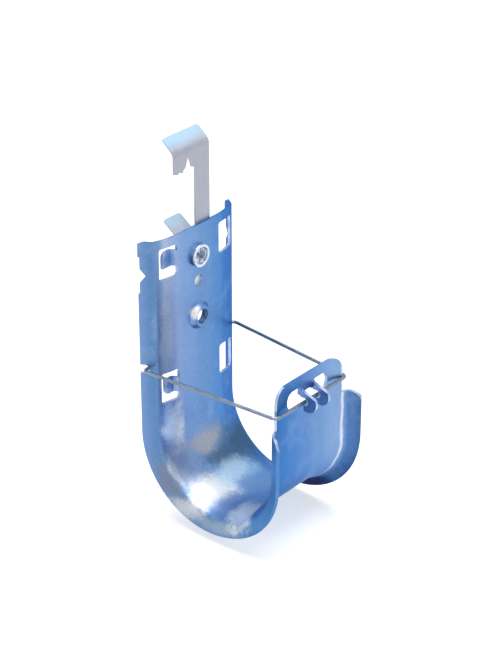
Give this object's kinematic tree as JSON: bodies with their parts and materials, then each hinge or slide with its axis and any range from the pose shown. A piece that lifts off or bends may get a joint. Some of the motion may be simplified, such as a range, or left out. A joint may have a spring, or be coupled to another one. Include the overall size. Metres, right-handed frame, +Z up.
{
  "type": "j hook cable support",
  "caption": "J-shaped sheet-steel hook that carries a bundle of data cables, with a swinging wire latch and a riveted spring clip for a beam's edge.",
  "frame": {"origin": "centre of the screw hole in the back plate, on the plate's cable side", "axes": "+X along the cables, -Y from the back plate towards the lip, +Z up"},
  "size_m": [0.052, 0.0661, 0.1451],
  "materials": {
    "hook_body": "pre-galvanised sheet, cool blue sheen with fine spangle",
    "hanger_clip": "rolled spring steel, satin grey",
    "rivet": "bright zinc",
    "wire_latch": "drawn spring wire, satin"
  },
  "bodies": {
    "hook": {"hook_body": "hook_body", "hanger_clip": "hanger_clip", "rivet": "rivet"},
    "latch": {"wire_latch": "wire_latch"}
  },
  "joints": [
    {"name": "latch_swing", "type": "hinge", "parent": "hook", "child": "latch", "pos_m": [0, 0.0051, -0.0146], "axis": [-1, 0, 0], "range_deg": [0, 80]}
  ]
}
